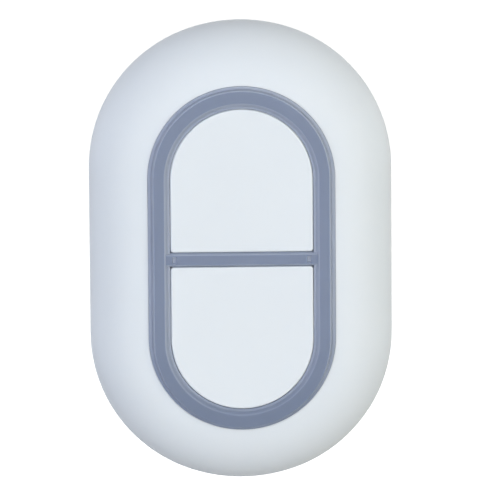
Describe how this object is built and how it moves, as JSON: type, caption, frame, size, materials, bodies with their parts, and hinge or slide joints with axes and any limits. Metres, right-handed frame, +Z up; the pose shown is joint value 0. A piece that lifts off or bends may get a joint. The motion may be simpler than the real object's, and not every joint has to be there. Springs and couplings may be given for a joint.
{
  "type": "panic button",
  "caption": "Pebble-shaped panic transmitter with a raised guard rim, a cross bar and push buttons that travel.",
  "frame": {"origin": "middle of the flat back plane, midway between the two accessory inserts", "axes": "+Z up along the length, front and buttons towards -Y, +X to the right seen from the front"},
  "size_m": [0.0418, 0.0148, 0.064],
  "materials": {
    "housing_white": "fine satin moulded plastic, faintly blue white",
    "button_white": "smooth satin moulded plastic, faintly blue white",
    "rim_grey": "satin blue-grey translucent plastic",
    "seal_rubber": "matte black rubber",
    "silicone": "soft translucent silicone",
    "steel": "zinc-plated steel",
    "spring_metal": "nickel-plated spring strip",
    "brass": "turned brass",
    "cell_steel": "nickel-plated cell can",
    "board_green": "solder-masked fibreglass board",
    "black_plastic": "black moulded plastic",
    "capacitor_tan": "ceramic",
    "lamp_clear": "clear lamp package",
    "clear_plastic": "polished clear plastic"
  },
  "bodies": {
    "housing": {"front_cover": "housing_white", "rear_cover": "housing_white", "guard_rim": "rim_grey", "cover_seal": "seal_rubber", "cover_screws": "steel", "board_screws": "steel", "accessory_inserts": "brass", "coin_cell": "cell_steel", "battery_holder": "black_plastic", "positive_contact": "spring_metal", "negative_contact": "spring_metal", "circuit_board": "board_green", "upper_switch_body": "black_plastic", "lower_switch_body": "black_plastic", "upper_switch_cover": "spring_metal", "lower_switch_cover": "spring_metal", "upper_switch_boot": "silicone", "lower_switch_boot": "silicone", "controller_chip": "black_plastic", "radio_chip": "black_plastic", "crystal": "spring_metal", "chip_capacitors": "capacitor_tan", "antenna": "spring_metal", "status_led": "lamp_clear", "light_pipe": "clear_plastic"},
    "upper_button": {"upper_button": "button_white", "upper_switch_stem": "black_plastic"},
    "lower_button": {"lower_button": "button_white", "lower_switch_stem": "black_plastic"},
    "battery_door": {"battery_door": "housing_white", "door_seal": "seal_rubber"}
  },
  "joints": [
    {"name": "upper_press", "type": "slide", "parent": "housing", "child": "upper_button", "axis": [0, 1, 0], "range_m": [0, 0.00035], "stiffness_N_per_m": 4500, "deforming": ["upper_switch_boot"]},
    {"name": "lower_press", "type": "slide", "parent": "housing", "child": "lower_button", "axis": [0, 1, 0], "range_m": [0, 0.00035], "stiffness_N_per_m": 4500, "deforming": ["lower_switch_boot"]},
    {"name": "battery_door_turn", "type": "hinge", "parent": "housing", "child": "battery_door", "pos_m": [0, 0, -0.0062], "axis": [0, 1, 0], "range_deg": [0, 30]}
  ]
}
